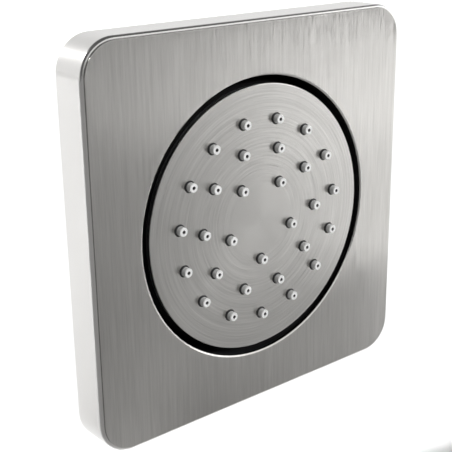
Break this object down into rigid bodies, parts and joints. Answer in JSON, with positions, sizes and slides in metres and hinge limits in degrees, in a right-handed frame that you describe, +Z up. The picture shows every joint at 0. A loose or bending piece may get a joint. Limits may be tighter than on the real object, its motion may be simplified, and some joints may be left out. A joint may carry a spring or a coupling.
{
  "type": "shower body jet",
  "caption": "Square wall-mounted shower body jet: brushed face plate on a shallow frame, and in its round window a flat spray head with soft nozzles on a ball joint, fed by a pipe inlet behind.",
  "frame": {"origin": "centre of the wall-screw pattern, in the plane where the base meets the wall", "axes": "+Y into the wall, so the spray faces -Y; +Z up; +X to the right seen from the front"},
  "size_m": [0.124, 0.0511, 0.124],
  "materials": {
    "satin_nickel": "smooth satin nickel",
    "brushed_nickel": "straight brushed nickel",
    "brushed_disc": "circular brushed nickel",
    "gloss_black": "glossy",
    "black_moulding": "fine moulded texture",
    "silicone": "soft satin",
    "foam": "closed-cell foam",
    "steel": "plain stainless",
    "brass": "machined",
    "plated_ball": "polished",
    "black_rubber": "matt",
    "pale_plastic": "low-friction moulding"
  },
  "bodies": {
    "fixed_base": {"cover_frame": "satin_nickel", "face_plate": "brushed_nickel", "mounting_base": "black_moulding", "wall_gasket": "foam", "grub_screws": "steel", "inlet_body": "brass", "inlet_washer": "black_rubber", "lock_nut": "brass", "inlet_screen": "steel", "flow_regulator": "pale_plastic", "regulator_ring": "black_rubber", "ball_seal": "black_rubber", "ball_nut": "brass"},
    "seat_liner": {"ball_seat": "pale_plastic"},
    "ball": {"ball_stem": "plated_ball", "stem_seal": "black_rubber", "stem_clip": "steel"},
    "spray_head": {"head_shell": "gloss_black", "nozzle_mat": "silicone", "spray_face": "brushed_disc", "head_screws": "steel", "face_carrier": "gloss_black"}
  },
  "joints": [
    {"name": "tilt_up_down", "type": "hinge", "parent": "fixed_base", "child": "seat_liner", "pos_m": [0, 0.0053, 0], "axis": [1, 0, 0], "range_deg": [-8, 8]},
    {"name": "tilt_left_right", "type": "hinge", "parent": "seat_liner", "child": "ball", "pos_m": [0, 0.0053, 0], "axis": [0, 0, 1], "range_deg": [-8, 8]},
    {"name": "head_turn", "type": "hinge", "parent": "ball", "child": "spray_head", "pos_m": [0, 0.0053, 0], "axis": [0, 1, 0], "continuous": true}
  ]
}
